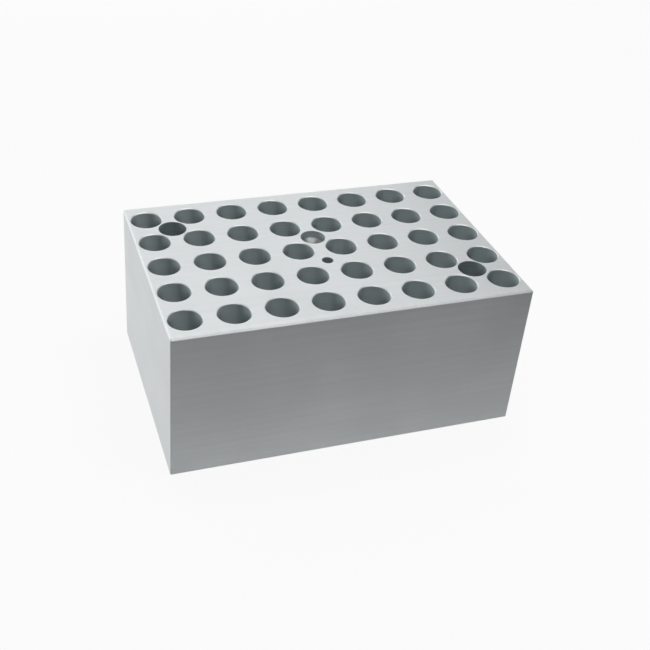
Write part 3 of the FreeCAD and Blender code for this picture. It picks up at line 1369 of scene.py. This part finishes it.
@dataclass(frozen=True)
class SpringWasher(Washer):
    """A split spring washer.

    Attributes:
        rise: How far its ends stand apart in height.
        slit: Width of its slit.
        slant: Slant of its slit in degrees.
    """

    rise: float = 0.35
    slit: float = 0.6
    slant: float = 25.0

    def surface(self, centre: np.ndarray, low: float, high: float) -> Patch:
        """A rounded section carried round most of a turn, closed at both ends by its middle point.

        The section climbs evenly on its way round, and every point is turned back by its height times the
        tangent of the slant over its radius, so both ends of the coil lie on the slanting slit.

        Args:
            centre: The screw's axis in plan.
            low: Height of its lowest point.
            high: Height of its highest point.

        Returns:
            The patch.
        """
        section = rounded_section(self.bore, self.radius, low, high - self.rise, self.corner)
        cap = np.tile(section[:-1].mean(axis=0), (1, len(section), 1))
        rows = np.concatenate([cap, np.tile(section, (self.segments, 1, 1)), cap])
        share = np.concatenate([[0.0], np.linspace(0.0, 1.0, self.segments), [1.0]])[:, None]
        gap = self.slit / (self.bore + self.radius)
        radius, height = rows[..., 0], rows[..., 1] + self.rise * share
        back = math.tan(math.radians(self.slant)) * (height - (low + high) / 2) / radius
        angle = gap + (2.0 * math.pi - 2.0 * gap) * share - back
        across = np.broadcast_to(line_distance(section), angle.shape)
        lay = np.stack([angle * self.radius, across], axis=-1)
        return Patch(about_axis(centre, radius, angle, height), lay, np.zeros(angle.shape))


WASHERS = (
    SpringWasher("spring_washer", "lock_washer", "block", Slot.SPRING, SPRING_STEEL, 2.6, 4.15, 0.12),
    Washer("flat_washer", "plain_washer", "block", Slot.STEEL, TURNED_STEEL, 2.65, 4.5, 0.15),
    Washer(
        "captive_ring", "retaining_washer", "{side}_retainer", Slot.POLYMER, WHITE_POLYMER, 2.08, 4.0, 0.18
    ),
)


# Studio


@dataclass(frozen=True)
class Softbox:
    """One rectangular lamp.

    Attributes:
        name: The lamp's name.
        place: Where it stands, in metres.
        target: What it faces, in metres.
        size: Its width and height in metres.
        glow: How bright its face is, where 1 shows as white.
        spread: The angle of its beam in degrees, 180 without a grid in front of it.
    """

    name: str
    place: Place
    target: Place
    size: tuple[float, float]
    glow: float
    spread: float = 180.0

    def build(self) -> bpy.types.Object:
        """Sets up the lamp. Its power is its brightness times pi times its area.

        Returns:
            The lamp's object.
        """
        lamp = bpy.data.lights.new(self.name, "AREA")
        lamp.shape = "RECTANGLE"
        lamp.size, lamp.size_y = self.size
        lamp.energy = self.glow * math.pi * self.size[0] * self.size[1]
        lamp.spread = math.radians(self.spread)
        stand = bpy.data.objects.new(self.name, lamp)
        bpy.context.scene.collection.objects.link(stand)
        turn = (Vector(self.target) - Vector(self.place)).to_track_quat("-Z", "Y")
        stand.matrix_world = Matrix.Translation(self.place) @ turn.to_matrix().to_4x4()
        return stand


@dataclass
class Studio:
    """The paper sweep, the lamps, the surrounding light and the camera.

    Attributes:
        floor_drop: How far the paper sweep lies under the base, in metres.
        sweep_radius: Radius of its flat part in metres.
        sweep_bend: Radius of its turn upwards in metres.
        sweep_height: How high it reaches, in metres.
        card_place: Where the black card stands along Y, in metres.
        card_size: Its width and height in metres.
        room: Light from the room's pale walls and ceiling.
        doorway: Light from the dark opening low in front.
        doorway_way: Direction of the middle of that opening.
        doorway_reach: Cosines of the angles from its middle at which it begins and is fully dark.
        lamps: The lamps.
        eye: The camera's place in metres.
        right: The camera's right in the room.
        down: The camera's down in the room.
        ahead: The camera's line of sight in the room.
        focal: Focal length in pixels of the frame.
        frame_width: Width of the frame in pixels.
        shift: The camera's shift across and up, in frame widths.
        sensor: Width of the camera's sensor in millimetres.
        sight: Nearest and farthest distance that the camera sees, in metres.
    """

    floor_drop: float = 0.00005
    sweep_radius: float = 2.8
    sweep_bend: float = 1.0
    sweep_height: float = 1.6
    card_place: float = -0.135
    card_size: tuple[float, float] = (1.0, 0.13)
    room: Colour = (0.30, 0.30, 0.30)
    doorway: Colour = (0.02, 0.02, 0.02)
    doorway_way: Place = (0.25, -0.97, 0.05)
    doorway_reach: tuple[float, float] = (0.1, 0.6)
    lamps: tuple[Softbox, ...] = (
        Softbox("back_softbox", (-0.2, 1.5, 1.05), (0.0, 0.0, 0.05), (2.2, 1.5), 0.70),
        Softbox("top_softbox", (0.11, -0.12, 0.62), (0.11, -0.08, 0.0), (0.72, 0.64), 1.66),
        Softbox("side_softbox", (-1.5, 0.5, 0.6), (0.0, 0.1, 0.0), (1.6, 1.1), 0.40),
        Softbox("floor_softbox", (0.0, 0.95, 1.0), (0.0, 0.95, 0.0), (1.4, 0.8), 0.6, 70.0),
    )
    eye: Place = (-0.11442, -0.28756, 0.24206)
    right: Place = (0.95055, -0.30443, 0.06144)
    down: Place = (-0.11126, -0.51849, -0.84781)
    ahead: Place = (0.28996, 0.79905, -0.52672)
    focal: float = 1018.49
    frame_width: float = 650.0
    shift: tuple[float, float] = (0.05, -0.10)
    sensor: float = 36.0
    sight: tuple[float, float] = (0.01, 50.0)

    def build_sweep(self) -> Piece:
        """The paper sweep: a flat disc about the block that turns up all round in a quarter circle.

        The profile runs out along the floor, then round the quarter circle, then straight up.

        Returns:
            The sweep's object.
        """
        steps, segments = 8, 64
        flat, bend, low = self.sweep_radius / MM, self.sweep_bend / MM, -self.floor_drop / MM
        angle = np.linspace(0.0, math.pi / 2, steps + 1)
        curve = np.stack([flat + bend * np.sin(angle), low + bend * (1.0 - np.cos(angle))], axis=-1)
        profile = [(0.0, low), *curve, (flat + bend, self.sweep_height / MM)]
        surface = turned(profile, (0.0, 0.0), segments)
        sweep = raise_piece("paper_sweep", [surface], [SWEEP_PAPER.material()], crease=60.0)
        return sweep

    def build_card(self) -> Piece:
        """The black card that stands in front: an upright sheet, seen only in reflections, where it paints
        shade on the block's front face.

        Returns:
            The card's object.
        """
        width, height = (length / MM for length in self.card_size)
        across, up = np.meshgrid(np.linspace(-width / 2, width / 2, 5), np.linspace(0.0, height, 3))
        points = np.stack([across, np.full_like(across, self.card_place / MM), up], axis=-1)
        sheet = Patch(points, points[..., ::2], np.zeros_like(across))
        card = raise_piece("reflection_shade_card", [sheet], [REFLECTION_SHADE_CARD.material()])
        # Seen by no camera, light or shadow: only its reflection darkens the block's front, a painted
        # shade.
        card.visible_camera = card.visible_diffuse = card.visible_shadow = False
        return card

    def build_world(self) -> None:
        """Surrounding light: the pale room, darker by the cosine of the angle to the opening in front."""
        world = bpy.data.worlds.new("studio_room")
        world.use_nodes = True
        wire = Wiring(world.node_tree)
        sky = wire.add("ShaderNodeTexCoord").outputs["Generated"]
        facing = wire.add("ShaderNodeVectorMath", operation="DOT_PRODUCT")
        wire.give(facing, {0: sky, 1: Vector(self.doorway_way).normalized()})
        share = wire.ranged(facing.outputs["Value"], *self.doorway_reach, 0.0, 1.0)
        glow = world.node_tree.nodes["Background"]
        wire.give(glow, {"Color": wire.blend(share, self.room, self.doorway)})
        bpy.context.scene.world = world

    def build_camera(self) -> bpy.types.Object:
        """The camera, from its axes in the room. Its own Z looks backwards and its Y is up.

        Returns:
            The camera's object.
        """
        lens = bpy.data.cameras.new("photo_camera")
        lens.sensor_fit = "HORIZONTAL"
        lens.sensor_width = self.sensor
        lens.lens = self.sensor * self.focal / self.frame_width
        lens.shift_x, lens.shift_y = self.shift
        lens.clip_start, lens.clip_end = self.sight
        camera = bpy.data.objects.new("photo_camera", lens)
        axes = np.array([self.right, np.negative(self.down), np.negative(self.ahead), self.eye])
        camera.matrix_world = Matrix([*axes.T, (0.0, 0.0, 0.0, 1.0)])
        bpy.context.scene.collection.objects.link(camera)
        bpy.context.scene.camera = camera
        return camera

    def build(self) -> None:
        """Sets up the studio."""
        self.build_sweep()
        self.build_card()
        self.build_world()
        for lamp in self.lamps:
            lamp.build()
        self.build_camera()
        bpy.context.scene.view_settings.view_transform = "Standard"
        LOG.info("studio: %d lamps", len(self.lamps))


def main() -> None:
    """Builds the pieces in order, then the studio."""
    logging.basicConfig(level=logging.INFO, format="%(name)s: %(message)s")
    kit = FinishKit()
    block = SampleBlock()
    block.build(kit)
    LiftInsert().build(block, kit)
    for side in Side:
        FixingScrew().build(side, block, kit)
        for washer in WASHERS:
            washer.build(side, block, kit)
    Studio().build()


if __name__ == "__main__":
    main()
